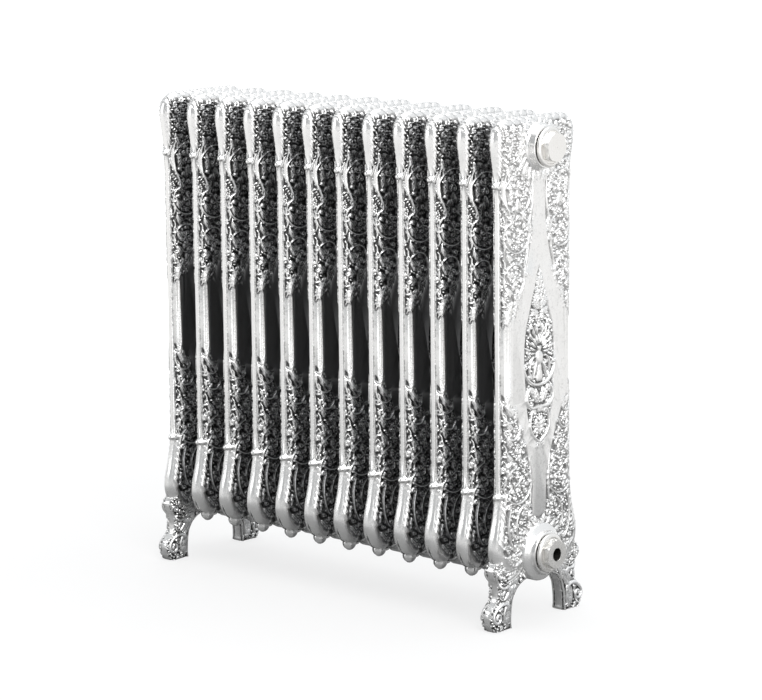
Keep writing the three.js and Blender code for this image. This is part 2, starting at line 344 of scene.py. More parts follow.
    def oval(self, centre, half_width, half_height, opening, start=-90):
        """A thin oval line that is open at one place and curls outwards there. Angles are in degrees."""
        turns = np.radians(np.linspace(start + opening, start + 360 - opening, 40))
        line = np.stack([half_width * np.cos(turns), half_height * np.sin(turns)], 1) + centre
        self.curled_line(line, ((half_width * 0.17, 1), (half_width * 0.17, -1)), 1.3, 1.6, 1.1)
        self.fringe(line, -1, 16, 4.0)

    def sprig(self, centre, size, angle, side):
        """A small plant form: a curl with leaflets if it is large, else a lobed leaf or a leaflet."""
        out = toward(angle)
        across = side * left_of(out)
        root, tip = centre - out * size * 0.9, centre + out * size * 0.9
        if size > 4.5:
            self.curl(root, angle - side * 0.75, size * 0.62, side, 1.25, turns=1.0)
            for share in (0.0, 0.55, 1.1):
                start = centre - across * size * (0.5 - 0.35 * share) + out * size * (share - 0.45)
                bend = start - across * size * 0.45
                self.curve([start, bend, bend + out * size * 0.4], 5, [0.7, 1.3, 0.4], [1.2, 1.5, 0.6])
        elif size > 3.2:
            self.leaf(root, tip, size * 0.95, side * 0.12, 3)
        else:
            middle = centre + across * size * 0.6
            self.curve([root, middle, tip], 7, [0.5, size * 0.45, 0.4], [0.7, 1.5, 0.6])

    def foliage(self, seed, allowed):
        """Grows sprigs wherever the ground is still bare, the largest first. allowed is a mask of the map."""
        random = np.random.default_rng(seed)
        for size in SPRIG_SIZES:
            clear = size * 0.8
            spots = np.argwhere(allowed & (self.relief < BARE))
            for i, j in spots[random.integers(0, len(spots), SPRIG_TRIES)]:
                spot = np.array([self.u[i], self.v[j]])
                place, u, v = self.window(spot - clear, spot + clear)
                near = (u - spot[0]) ** 2 + (v - spot[1]) ** 2 < clear**2
                angle, side = random.uniform(0, 2 * math.pi), random.choice((-1, 1))
                if not (self.relief[place][near] > BARE).any():
                    self.sprig(spot, size, angle, side)


def half_width(height):
    """How far the front edge of a section is from the middle plane at a height."""
    return float(np.interp(height, NOSE_LINE[:, 1], NOSE_LINE[:, 0]))


def nose(height, inward):
    """The map point that is a given distance round the edge from the rib's middle, at a height."""
    return np.array([half_width(height) + EDGE_REACH - inward, height])


def carve_cartouche(m):
    """The long ornament in the middle of a broad face: its sunk ground, and leaves and wings at the top."""
    m.sink(mirrored([
        (0, 566), (7, 550), (13, 528), (20, 510), (26, 490), (33, 472), (38, 442), (39, 404), (36, 378),
        (34, 350), (29, 322), (22, 300), (10, 284), (0, 276),
    ]), CARTOUCHE_GROUND, 5)
    m.leaf((0, 518), (0, 558), 6, height=1.7)
    for tip in ((6, 546), (11, 532), (15, 520)):
        m.leaf((2, tip[1] - 20), tip, 5, -0.12, 4, 1.7)
    m.bead((0, 510), 4.5, 2.4)
    m.leaf((3, 494), (18, 512), 7, -0.15, 4, 2.2)
    m.leaf((4, 488), (22, 490), 7, 0.15, 4, 2.2)
    m.curl((9, 478), math.radians(60), 5, 1, 1.6, 2.0)


def carve_canopy(m):
    """Two rows of leaflets that fan out over the figure in the cartouche."""
    for spring, tip, first in ((17, 31, 6), (31, 48, 14)):
        for angle in range(first, 92, 16):
            out = toward(math.radians(angle)) * (0.72, 1)
            start, end = (0, 424) + out * spring, (0, 424) + out * tip
            bend = (start + end) / 2 + (out[1] * 3, -out[0] * 3)
            m.curve([start, bend, end], 6, [1.0, 2.4, 0.7], [1.5, 2.3, 1.0])


def carve_figure(m):
    """A plain round head over two folded arms and a draped body, and the swag under them."""
    m.stroke([(0, 414), (0, 419)], [8.6, 9.2], [3.0])
    m.curve([(9, 408), (15, 398), (16, 384)], 8, [2.4, 2.8, 1.4], [2.4, 2.6, 1.8])
    m.curve([(14, 420), (27, 414), (24, 394)], 8, [1.4, 2.4, 1.4], [1.9, 2.4, 1.6])
    m.stroke([(0, 404), (2, 386)], [5.0, 6.5], [1.8, 2.0])
    for fold in (2.4, 6.0):
        m.curve([(fold, 400), (fold + 2, 392), (fold, 384)], 6, [0.6, 0.9], [1.0], cut=True)
    m.curve([(0, 375), (18, 374), (35, 384), (39, 410)], 16, [2.6, 3.0, 1.2], [2.7, 2.6, 1.2])


def carve_shield(m):
    """The bold C-scrolls under the swag, the pointed shield under them, and the drop at the bottom."""
    path = m.scroll([(5, 341), (30, 332), (42, 362), (23, 371)], ((4.5, 1), (5, 1)), 2.8, 2.8)
    m.fringe(path, -1, 6, 5.0, 1.8)
    m.leaf((4, 348), (15, 368), 9, -0.15, 4, 2.4)
    path = m.scroll([(18, 334), (30, 314), (22, 296), (2, 286)], ((4.5, 1), None), 2.0, 2.2)
    m.fringe(path, 1, 6, 4.0, 1.7)
    m.curl((13, 300), math.radians(80), 4.5, 1, 1.4, 2.0)
    m.leaf((0, 298), (0, 330), 9, lobes=4, height=2.0)
    m.leaf((5, 304), (13, 322), 5, -0.1, 3, 1.8)
    m.stroke([(0, 316), (0, 302)], [0.9, 1.3], [1.6], cut=True)
    m.stroke([(0, 284), (0, 264)], [3.2, 0.5], [1.7, 0.3])
    m.leaf((3, 288), (9, 272), 5, 0.1, 3)


def rosette(m, centre, radius, turn):
    """Curls that spring from a small flower."""
    for i in range(PETALS):
        angle = turn + 2 * math.pi * i / PETALS
        m.curl(centre + radius * 0.42 * toward(angle), angle - 0.7, radius * 0.3, 1, 1.3, 1.7, 0.9)
    m.flower(centre, radius * 0.45, turn)


def carve_upper_corner(m):
    """The foliage between the top hub and the smooth middle of the section, in three ovals."""
    m.sink([
        (-9, 712), (10, 704), (13.5, 690), (13.5, 640), (16, 615), (24, 580), (35, 545), (50, 510), (66, 484),
        (84, 470), (130, 462), (130, 830), (-9, 830),
    ])
    m.oval((52, 676), 30, 30, 24)
    rosette(m, (52, 684), 15, 0.3)
    m.leaf((52, 668), (50, 650), 8, 0.1, 4)
    m.oval((54, 612), 28, 26, 30, 90)
    rosette(m, (50, 612), 14, 1.0)
    m.oval((60, 545), 22, 25, 26, -70)
    rosette(m, (60, 548), 13, 0.6)
    m.scroll([(17, 700), (15, 668), (19, 640), (30, 622)], (None, (4, -1)), 1.3, 1.4)
    m.leaf((24, 634), (18, 604), 6, 0.1, 5)
    m.scroll([(28, 600), (28, 580), (38, 566), (36, 552)], ((4, 1), (4, -1)), 1.4, 1.5)
    m.leaf((44, 524), (62, 500), 7, -0.1, 5)
    m.leaf((66, 512), (84, 474), 8, 0.1, 5)
    m.leaf((56, 510), (64, 482), 6, 0, 4)


def carve_lower_corner(m):
    """The foliage between the smooth middle of the section and the bottom hub."""
    m.sink([
        (130, 376), (84, 372), (68, 356), (52, 330), (38, 298), (26, 266), (17, 240), (15, 205),
        (14, 172), (-9, 166), (-9, 40), (130, 40),
    ])
    m.leaf((66, 334), (82, 368), 8, -0.1, 5)
    m.leaf((58, 330), (60, 350), 6, 0, 4)
    m.scroll([(84, 352), (88, 330), (72, 318), (58, 328)], ((5, -1), (4, -1)), 1.5, 1.6)
    m.scroll([(48, 312), (52, 296), (68, 292), (80, 306)], ((4, 1), (5, 1)), 1.5, 1.6)
    rosette(m, (45, 283), 13, 0.2)
    m.oval((52, 224), 30, 29, 24, 100)
    rosette(m, (50, 228), 16, 0.9)
    m.scroll([(26, 262), (21, 238), (20, 214), (24, 192)], (None, (5, 1)), 1.3, 1.4)
    m.leaf((66, 262), (88, 248), 7, 0.1, 4)
    m.curl((20, 178), math.radians(10), 8, -1, 1.6, 1.7)
    m.scroll([(40, 190), (56, 180), (62, 160), (54, 146)], ((5, 1), (5, 1)), 1.5, 1.6)
    m.scroll([(70, 190), (80, 168), (76, 140), (64, 124)], ((5, -1), (6, -1)), 1.6, 1.7)
    rosette(m, (66, 108), 12, 0.5)


def carve_hub_leaves(m):
    """Leaves that lean round both hubs, the longest ones below the top hub."""
    for height, ring, (below, above) in zip(HUB_HEIGHTS, (47, 38), ((13, 11), (22, 13))):
        for k, angle in enumerate(range(-84, 90, 15)):
            out = toward(math.radians(angle))
            length = below if angle < 0 else above
            start = (0, height) + out * ring
            end = start + out * length * 0.8 - left_of(out) * length * 0.55
            m.leaf(start, end, 5.5 + k % 2, 0.1, 4, 1.7)


def carve_chain(m, heights, side, radius, leaf_drop, stem, stem_width):
    """Curls down the nose that turn to alternate sides, each with a leaf and a stem to the next one."""
    for height in heights:
        m.curl(nose(height, 9), math.radians(50 * side - 90), radius, side, 1.5, 1.8, 1.0)
        m.leaf(nose(height + 2, 16), nose(height - leaf_drop, 26), 6, 0.12 * side, 4, 1.7)
        points = [nose(height - drop, inward) for drop, inward in stem]
        m.curve(points, 8, [0.6, stem_width, 0.6], [1.6, 1.3])
        side = -side


def carve_nose_top(m):
    """The toothed leaf above the upper bead, the bud and the long leaf below it, and a chain of curls."""
    m.stroke([nose(698, 2), nose(720, 3), nose(752, 3), nose(774, 2)], [4, 9, 12, 13], [0.5, 0.9, 0.9, 0.8])
    for height in range(702, 770, 8):
        reach = 7 + 9 * min((height - 690) / 50, 1)
        m.stroke([nose(height + 11, reach * 0.5), nose(height, reach)], [3.4, 0.8], [1.6, 1.0])
        m.stroke([nose(height + 13, 5), nose(height + 4, reach * 0.8)], [0.6, 0.5], [0.8, 0.5], cut=True)
    bud = bezier([nose(712, 20), nose(690, 8), nose(668, 10), nose(650, 21)], 18)
    m.stroke(bud, [0.6, 3.8, 4.2, 0.8], [1.0, 2.0, 1.1])
    m.stroke(bud[3:14], [0.4, 0.9, 0.4], [0.4, 1.0, 0.4], cut=True)
    m.scroll([nose(682, 6), nose(664, 8), nose(654, 24), nose(636, 23)], (None, (4, -1)), 1.3, 1.7, 1.3)
    m.leaf(nose(722, 20), nose(700, 27), 6, 0.1, 4)
    m.leaf(nose(690, 24), nose(664, 28), 6, -0.1, 4)
    m.flower(nose(628, 11), 6.0, 0.4)
    carve_chain(m, range(610, 500, -26), -1, 5.2, 12, ((6, 9), (13, 17), (22, 10)), 1.7)
    m.leaf(nose(498, 19), nose(472, 12), 6)
    m.leaf(nose(494, 10), nose(482, 25), 5, 0, 4)


def carve_nose_bottom(m):
    """The chain of curls above the lower bead."""
    m.leaf(nose(350, 14), nose(374, 20), 6, 0, 4)
    carve_chain(m, range(348, 226, -25), 1, 5.4, 13, ((7, 10), (15, 19), (23, 11)), 1.8)
    m.scroll([nose(222, 24), nose(214, 16), nose(206, 13), nose(198, 16)], ((4, -1), None), 1.4, 1.6)


def carve_belly(m):
    """A smooth swelling with fine flutes and a toothed leaf along its side, and the cup under the nose."""
    swelling = [nose(204, 3), nose(190, 5), nose(160, 7), nose(125, 8), nose(128, 8)]
    m.stroke(swelling, [6, 9, 12, 14, 14], [0.7, 1.0, 1.0, 0.9, 0.9])
    for inward in (9.0, 13.0):
        flute = [nose(196, inward * 0.8), nose(165, inward), nose(132, inward)]
        m.stroke(flute, [0.4, 0.8, 0.4], [0.2, 0.7, 0.2], cut=True)
    for height in range(128, 200, 10):
        m.stroke([nose(height + 12, 12), nose(height, 22 - (height - 130) * 0.08)], [3.6, 0.9], [1.6, 1.0])
    m.stroke([nose(124, 8), (88, 96), (72, 90)], [13, 12, 10], [0.8])
    m.leaf((84, 116), (66, 100), 6, height=1.8)


def carve_top_ridge(m):
    """A smooth crown with sparse curved veins and small crescents cut into it."""
    ridge = TOP + EDGE_REACH
    m.stroke([(-8, ridge), (88, ridge)], [15], [1.1])
    for k, u in enumerate(range(2, 90, 17)):
        vein = [(u + 13, ridge), (u + 9, ridge - 7), (u + 1, ridge - 11), (u - 5, ridge - 22)]
        m.curve(vein, 10, [0.4, 0.8, 0.5], [0.8, 1.4, 0.8], cut=True)
        crescent = [(u + 2, ridge - 3), (u + 7, ridge - 5), (u + 4, ridge - 10)]
        m.curve(crescent, 6, [0.4, 0.7 + 0.3 * (k % 2), 0.4], [0.6, 1.3, 0.6], cut=True)


def carve_rib(m):
    """The raised rib between the beads, with a groove beside it, and smooth metal next to it."""
    inward = m.depth + EDGE_REACH
    low, high = BEAD_HEIGHTS
    upright = (smooth(low - 4, low + 4, m.v) * fall(high - 4, high + 4, m.v))[None, :]
    m.relief += (0.2 - m.relief) * fall(5.0, 7.0, inward) * upright
    rib = 1.6 * fall(2.6, 3.8, inward)
    groove = 0.9 * smooth(3.4, 4.2, inward) * fall(4.8, 6.0, inward)
    m.relief += (rib - groove) * upright


def body_map():
    """Relief of a section's body."""
    m = HeightMap((-9, 122), (58, 812), BODY_OUTLINE)
    corners = (carve_upper_corner, carve_lower_corner)
    face = (carve_cartouche, carve_canopy, carve_figure, carve_shield, carve_hub_leaves)
    edge = (carve_nose_top, carve_nose_bottom, carve_belly, carve_top_ridge)
    for carve in corners + face + edge:
        carve(m)
    to_hub = np.minimum(*[np.hypot(m.u[:, None], m.v[None, :] - height) for height in HUB_HEIGHTS])
    ring = np.where(m.v > sum(HUB_HEIGHTS) / 2, 40, 49)[None, :]
    crown = (m.v > TOP - 14)[None, :] & (m.u < 80)[:, None]
    m.foliage(7, (m.depth + EDGE_REACH > 7) & (to_hub > ring) & ~crown)
    carve_rib(m)
    m.relief += (0.3 - m.relief) * fall(-11, -9, to_hub - ring)
    return m


def leg_map():
    """Relief of a leg: a scrolled toe, a leaf up the shin, a curl at the knee and leaves under the hub."""
    m = HeightMap((-9, 132), (-16, 124), LEG_OUTLINE)
    m.sink([(20, 130), (20, 64), (50, 50), (60, 20), (62, -20), (140, -20), (140, 130)])
    m.scroll([(74, 36), (80, 46), (96, 44), (108, 30)], (None, (11, -1)), 2.6, 2.0)
    m.scroll([(76, 68), (88, 62), (100, 74), (102, 86)], ((4, 1), (7, 1)), 2.2, 1.8)
    for root, tip, width, bend, lobes in (
        ((74, 44), (78, 6), 10, 2, 6), ((84, 18), (72, 4), 6, 0, 4), ((66, 66), (84, 42), 10, -3, 6),
        ((52, 76), (66, 48), 9, 2, 5), ((46, 86), (80, 74), 9, -2, 6), ((44, 96), (88, 92), 9, -2, 6),
        ((44, 106), (86, 106), 8, 0, 6),
    ):
        m.leaf(root, tip, width, bend, lobes)
    m.stroke([(30, 70), (50, 62), (60, 50), (66, 30), (68, 0)], [2.2], [1.0])
    m.foliage(3, m.depth > -6)
    edge = m.depth + LEG_REACH
    m.relief += (PLAIN - m.relief) * fall(5, 7, edge) * smooth(80, 88, m.u)[:, None]
    m.relief += (0.2 - m.relief) * fall(62, 66, m.u)[:, None] * fall(6, 8, edge)
    return m


def sampled(values, origin, step, u, v):
    """Bilinear look-up in a grid of values."""
    i = np.clip((u - origin[0]) / step, 0, values.shape[0] - 1.001)
    j = np.clip((v - origin[1]) / step, 0, values.shape[1] - 1.001)
    i0, j0 = i.astype(np.int32), j.astype(np.int32)
    i, j = i - i0, j - j0
    low = values[i0, j0] * (1 - j) + values[i0, j0 + 1] * j
    high = values[i0 + 1, j0] * (1 - j) + values[i0 + 1, j0 + 1] * j
    return low * (1 - i) + high * i


class Plate:
    """A flat casting with a rounded edge, and the height map that wraps it."""

    def __init__(self, outline, half_thickness, rounding_depth, rib_half, height_map):
        self.rounding_depth = rounding_depth
        self.rib_half = rib_half
        self.radius, reach = rounding(half_thickness, rounding_depth, rib_half)
        self.arc = reach + rounding_depth - rib_half
        self.arc_centre = half_thickness - self.radius
        self.map = height_map
        self.relief = (height_map.relief - height_map.cuts).astype(np.float32)
        self.v0 = float(height_map.v[0])
        side = np.arange(-12, 134, MAP_STEP)
        self.origin = (float(side[0]), self.v0)
        self.depth = outline_distance(closed(outline), side, height_map.v).astype(np.float32)
        self.slope = [s.astype(np.float32) for s in np.gradient(self.depth, MAP_STEP)]

    def field(self, x, y, z):
        """How deep points are in the smooth solid, and the relief there. y is not negative."""
        depth = sampled(self.depth, self.origin, MAP_STEP, y, z)
        slope_y = sampled(self.slope[0], self.origin, MAP_STEP, y, z)
        slope_z = sampled(self.slope[1], self.origin, MAP_STEP, y, z)
        over = np.maximum(self.rounding_depth - depth, 0)
        beside = np.maximum(np.abs(x) - self.arc_centre, 0)
        solid = soft_min(self.radius - np.hypot(beside, over), depth + 0 * x, 0.5)
        arc = np.minimum(self.radius * np.arctan2(over, np.maximum(beside, 1e-4)), self.arc)
        arc += np.where(over > 0, np.maximum(self.rib_half - np.abs(x), 0), 0)
        shift = over - arc
        u, v = y + slope_y * shift, z + slope_z * shift
        relief = sampled(self.relief, (float(self.map.u[0]), self.v0), MAP_STEP, u, v)
        return solid, relief


# Distances from a section's middle, and how wide a hub is there: a domed collar below, a plain neck above.
COLLARS = (
    ([0, 17, 19.5, 21, 22.2, 23.6, 25.2, 27, 30.6, 31.5], [46, 46, 45, 43, 40, 37, 35, 34, 33.6, 33]),
    ([0, 16, 17.5, 18.6, 19.4, 30.6, 31.5], [37, 37, 36.6, 35.6, 33.8, 33.4, 33]),
)
# How far from a hub's axis the relief starts and is at its full height, below and above.
HUB_MARGINS = ((44, 46.5), (35, 37.5))
# The bud's heights above the floor, and its radii there.
FINIAL_HEIGHTS = [71.5, 73, 76, 80, 84, 90]
FINIAL_RADII = [0, 4, 7.5, 9.8, 10.4, 8.5]
FINIAL_BOTTOM = 71.6


def hub_field(x, y, z):
    """The round bosses, which flare to the face of the section."""
    solid = np.full(np.broadcast_shapes(x.shape, y.shape, z.shape), -50.0, np.float32)
    for height, (distances, radii) in zip(HUB_HEIGHTS, COLLARS):
        radius = np.hypot(y, z - height)
        reach = np.interp(np.abs(x), distances, radii).astype(np.float32)
        solid = np.maximum(solid, soft_min((reach - radius) * 0.8, HUB_FACE - np.abs(x) + 0 * radius, 0.5))
    return solid


def bores(x, y, z):
    """Positive outside the threaded holes through both hubs."""
    clear = [np.hypot(y, z - height) - HUB_BORE for height in HUB_HEIGHTS]
    return np.minimum(*clear) + 0 * x


def cone_field(x, y, z, start, end, start_radius, end_radius):
    """A tapered rod with round ends."""
    line = np.subtract(end, start)
    x, y, z = x - start[0], y - start[1], z - start[2]
    along = np.clip((x * line[0] + y * line[1] + z * line[2]) / float(line @ line), 0, 1)
    gap = np.sqrt((x - along * line[0]) ** 2 + (y - along * line[1]) ** 2 + (z - along * line[2]) ** 2)
    return start_radius + (end_radius - start_radius) * along - gap


def bead_field(x, y, z):
    """A ball on the rib at each height, a pointed leaf beside the upper one and a cheek by the lower."""
    x = np.abs(x)
    low, high = BEAD_HEIGHTS
    front, high_front = half_width(low), half_width(high)
    lower_ball = cone_field(x, y, z, (0, front - 3, low + 2), (0, front + 3.6, low), 5.6, 5.0)
    cheek = cone_field(x, y, z, (4, front - 2, low - 1), (8, front - 4, low + 1), 4.2, 3.2)
    ball = cone_field(x, y, z, (0, high_front - 3, high + 2), (0, high_front + 3.6, high), 5.6, 5.0)
    leaf = cone_field(x, y, z, (4.5, high_front - 1, high - 3), (10.5, high_front - 3.5, high + 13), 3.2, 0.9)
    return soft_max(np.maximum(np.maximum(lower_ball, ball), leaf), cheek, 0.6)


def finial_field(x, y, z):
    """The small petalled bud under each nose of a middle section."""
    across = y - FINIAL_Y
    radius = np.hypot(x, across)
    petals = 1 + 0.09 * np.cos(6 * np.arctan2(x, across))
    reach = np.interp(z, FINIAL_HEIGHTS, FINIAL_RADII).astype(np.float32)
    upright = np.minimum(z - FINIAL_BOTTOM, FINIAL_TOP - z) + 0 * radius
    return soft_min((reach * petals - radius) * 0.8, upright, 1.0)


def section_field(x, y, z, body, legs):
    """The whole casting at any points: how deep they are in it, and the relief there."""
    solid, relief = body.field(x, y, z)
    away = np.minimum(*[np.hypot(y, z - height) for height in HUB_HEIGHTS])
    low_margin, high_margin = (smooth(*margin, away) for margin in HUB_MARGINS)
    relief = relief * np.where(z > TOP / 2, high_margin, low_margin)
    solid = solid + relief
    if legs:
        leg_solid, leg_relief = legs.field(x, y, z)
        leg_relief = leg_relief * low_margin
        leg_solid = np.minimum(leg_solid + leg_relief, z)
        relief = np.where((z < LEG_TOP) & (leg_solid > solid), leg_relief, relief)
        solid = np.where(z < LEG_TOP, soft_max(solid, leg_solid, 1.5), solid)
    else:
        bud = finial_field(x, y, z)
        relief = np.where(bud > solid, PLAIN, relief)
        solid = soft_max(solid, bud, 1.0)
    ball = bead_field(x, y, z)
    hub = hub_field(x, y, z)
    relief = np.where((ball > solid) | (hub > solid + 0.3), PLAIN, relief)
    solid = soft_max(soft_max(solid, ball, 0.8), hub, 1.2)
    return np.minimum(solid, bores(x, y, z)), relief


def mirrored_array(quarter):
    """Mirrors a field from x and y >= 0 to all four quarters. It starts half a cell from each plane."""
    half = np.concatenate([quarter[::-1], quarter])
    return np.concatenate([half[:, ::-1], half], axis=1)


def thinned(points, quads, name, faces):
    """A mesh of about the wanted number of triangles, from a dense one in millimetres."""
    dense = bpy.data.meshes.new(name)
    dense.from_pydata(points * MM, [], quads)
    holder = bpy.data.objects.new(name, dense)
    bpy.context.scene.collection.objects.link(holder)
    holder.modifiers.new("thin", "DECIMATE").ratio = min(faces / (2 * len(quads)), 1)
    mesh = bpy.data.meshes.new_from_object(holder.evaluated_get(bpy.context.evaluated_depsgraph_get()))
    mesh.name = name
    bpy.data.objects.remove(holder)
    return mesh


def mesh_from_field(name, body, legs, faces):
    """Turns the section's field into a mesh with the wanted number of triangles."""
    low_z, high_y = (-3.0, 120.0) if legs else (68.0, 110.0)
    band = 3 * CELL
    x = (np.arange(0, 34, CELL, dtype=np.float32) + CELL / 2)[:, None, None]
    y = (np.arange(0, high_y, CELL, dtype=np.float32) + CELL / 2)[None, :, None]
    z = np.arange(low_z, TOP + 5, CELL, dtype=np.float32)[None, None, :]
    solid, _ = section_field(x, y, z, body, legs)
    whole = mirrored_array(np.clip(-solid, -band, band).astype(np.float32))
    grid = openvdb.FloatGrid(band)
    grid.copyFromArray(np.ascontiguousarray(whole))
    points, quads = grid.convertToQuads(0.0)
    half_x, half_y = whole.shape[0] / 2, whole.shape[1] / 2
    points = points * CELL + np.array([0.5 - half_x, 0.5 - half_y, 0]) * CELL + (0, 0, low_z)
    mesh = thinned(points, quads[:, ::-1], name, faces)
    paint_relief(mesh, body, legs)
    return mesh


def paint_relief(mesh, body, legs):
    """Stores the relief's height, and a map of burnish with painted light and shade, for the metal's colour.
    """
    at = np.empty(len(mesh.vertices) * 3, np.float32)
    mesh.vertices.foreach_get("co", at)
    x, y, z = (at.reshape(-1, 3) / MM).T
    side, y = np.abs(x), np.abs(y)
    _, relief = section_field(x, y, z, body, legs)
    depth = sampled(body.depth, body.origin, MAP_STEP, y, z)
    # 0 on broad faces in from the edge, for a painted shade between the sections; 1 on the noses.
    polish = 1 - smooth(5, 18, depth) * smooth(6, 13, side)
    if legs:
        # A leg casting's outer face gets 1 to 2, rising with height: lighter grey recesses, a painted light
        # that grows higher up.
        outer_face_light = 1 + smooth(2, 11, x) * (0.55 * smooth(30, 90, z) + 0.45 * smooth(200, 660, z))
        # Under the arch the value falls to 0: a painted shade.
        arch_shade = fall(64, 72, y) * fall(80, 92, z) * fall(10, 12, side)
        polish = np.where(x > 0, outer_face_light, polish) * (1 - arch_shade)
        # Near the floor the legs are made darker, by up to 0.55 of the value.
        polish = polish * (1 - 0.55 * fall(50, 95, z) * fall(15, 17, side))
    # The crown gets 2: lighter grey recesses on top, a painted light.
    polish = np.maximum(polish, 1 + smooth(TOP - 16, TOP - 6, z))
    for label, values in (("relief", relief), ("polish", polish)):
        layer = mesh.attributes.new(label, "FLOAT", "POINT")
        layer.data.foreach_set("value", values.astype(np.float32))
    mesh.shade_smooth()


class Nodes:
    """The node tree of a new material or world, with short ways to add and join nodes."""

    def __init__(self, owner):
        self.owner = owner
        owner.use_nodes = True
        self.tree = owner.node_tree
        self.coordinates = self.add("ShaderNodeTexCoord").outputs
        self.place = self.coordinates["Object"]

    def add(self, kind, inputs=None, **settings):
        node = self.tree.nodes.new(kind)
        for key, value in settings.items():
            setattr(node, key, value)
        for key, value in (inputs or {}).items():
            self.set(node.inputs[key], value)
        return node

    def set(self, socket, value):
        if isinstance(value, bpy.types.NodeSocket):
            self.tree.links.new(value, socket)
        else:
            socket.default_value = value

    def noise(self, scale, detail=4.0, roughness=0.55, distortion=0.0, place=None):
        inputs = {"Vector": place or self.place, "Scale": scale, "Detail": detail, "Roughness": roughness}
        inputs["Distortion"] = distortion
        return self.add("ShaderNodeTexNoise", inputs).outputs["Fac"]

    def turning_marks(self, scale, detail, stretch):
        """Noise drawn out round the X axis."""
        place = self.add("ShaderNodeMapping", {"Vector": self.place, "Scale": (stretch, 1, 1)})
        return self.noise(scale, detail, 0.6, place=place.outputs["Vector"])

    def remap(self, value, low, high, to_low=0.0, to_high=1.0):
        inputs = {"Value": value, "From Min": low, "From Max": high, "To Min": to_low, "To Max": to_high}
        return self.add("ShaderNodeMapRange", inputs, interpolation_type="SMOOTHSTEP").outputs["Result"]

    def math(self, operation, a, b=0.0):
        return self.add("ShaderNodeMath", {0: a, 1: b}, operation=operation).outputs["Value"]

    def mix(self, factor, a, b):
        a, b = (c if isinstance(c, bpy.types.NodeSocket) else (*c, 1.0) for c in (a, b))
        return self.add("ShaderNodeMix", {"Factor": factor, 6: a, 7: b}, data_type="RGBA").outputs[2]

    def either(self, factor, a, b):
        """A mix of two shaders."""
        return self.add("ShaderNodeMixShader", {"Fac": factor, 1: a, 2: b}).outputs["Shader"]

    def length(self, vector):
        return self.add("ShaderNodeVectorMath", {"Vector": vector}, operation="LENGTH").outputs["Value"]

    def part(self, vector, axis):
        return self.add("ShaderNodeSeparateXYZ", {"Vector": vector}).outputs[axis]

    def attribute(self, name):
        return self.add("ShaderNodeAttribute", attribute_name=name).outputs["Fac"]

    def glow(self, strength):
        return self.add("ShaderNodeEmission", {"Strength": strength}).outputs["Emission"]

    def show(self, seen, lit, output):
        """The camera sees one shader. The other one lights the object and shows in its reflections."""
        is_camera = self.add("ShaderNodeLightPath").outputs["Is Camera Ray"]
        self.set(self.tree.nodes[output].inputs["Surface"], self.either(is_camera, lit, seen))


class Look(Nodes):
    """A new material with one principled shader."""

    def __init__(self, name, metallic):
        super().__init__(bpy.data.materials.new(name))
        self.shader = self.tree.nodes["Principled BSDF"]
        self.set(self.shader.inputs["Metallic"], metallic)

    def colour(self, value):
        self.set(self.shader.inputs["Base Color"], value)

    def roughness(self, value):
        self.set(self.shader.inputs["Roughness"], value)

    def bump(self, height, strength, distance):
        inputs = {"Height": height, "Strength": strength, "Distance": distance}
        self.set(self.shader.inputs["Normal"], self.add("ShaderNodeBump", inputs).outputs["Normal"])


def burnished_iron():
    """Iron rubbed bright on everything that stands proud, and left nearly black in the recesses.

    The stored attribute is 0 on broad faces between the sections, which get a painted shade, 1 on noses, and
    2 on the outer faces and crown, whose recesses get a painted light grey. A broad face has few points to
    carry it, so its flat parts are told by x and get the painted shade too.
    """
    n = Look("burnished_iron", 1.0)
    blotches = n.noise(38, 5)
    fine = n.noise(420, 3)
    patches = n.remap(n.noise(150, 3), 0.35, 0.65, -0.3, 0.3)
    wear = n.math("ADD", n.remap(fine, 0.3, 0.7, -0.25, 0.25), patches)
    height = n.math("ADD", n.attribute("relief"), wear)
    rubbed = n.remap(height, -1.5, 0.0)
    side = n.math("ABSOLUTE", n.part(n.place, "X"))
    burnish_light_attribute = n.attribute("polish")
    # Flat broad faces between sections: a painted shade.
    flat_face_shade = n.math("MULTIPLY", n.remap(side, 0.0134, 0.0147), n.remap(burnish_light_attribute, 1.3, 1.1))
    polish = n.math("MULTIPLY", burnish_light_attribute, n.math("SUBTRACT", 1.0, flat_face_shade))
    silver = n.mix(blotches, (0.74, 0.735, 0.725), (0.84, 0.835, 0.825))
    black = n.mix(fine, (0.03, 0.03, 0.031), (0.08, 0.079, 0.077))
    # Lighter grey for recesses on the outer faces and crown: a painted light.
    grey = n.mix(fine, (0.38, 0.377, 0.372), (0.52, 0.516, 0.51))
    outer_face_light = n.math("MULTIPLY", n.remap(polish, 1.0, 2.0), n.remap(height, -2.4, -1.2, 0.3, 1.0))
    polished = n.mix(rubbed, n.mix(outer_face_light, black, grey), silver)
    # Dark painted shade for the faces that the map sets below 1; relief tops on them are lighter, partly
    # rubbed metal and partly painted glints.
    shade_and_glint_colour = n.mix(n.remap(height, 0.5, 1.5), (0.19, 0.19, 0.192), (0.85, 0.85, 0.85))
    n.colour(n.mix(n.remap(polish, 0.0, 1.0), shade_and_glint_colour, polished))
    worn = n.math("ADD", n.math("MULTIPLY", rubbed, polish), n.math("MULTIPLY", blotches, -0.2))
    n.roughness(n.remap(worn, -0.1, 0.9, 0.42, 0.27))
    grain = n.math("ADD", n.noise(700, 3, 0.7), n.math("MULTIPLY", n.noise(160, 4), 0.8))
    n.bump(grain, 0.14, 0.0006)
    return n.owner


def turned_metal(name, marks, stain, dark, light, roughness, bump):
    """Metal with fine turning marks and a mottled colour."""
    n = Look(name, 1.0)
    marks = n.turning_marks(*marks)
    n.colour(n.mix(n.noise(stain, 5), dark, light))
    n.roughness(n.remap(marks, 0.3, 0.7, *roughness))
    n.bump(marks, *bump)
    return n.owner


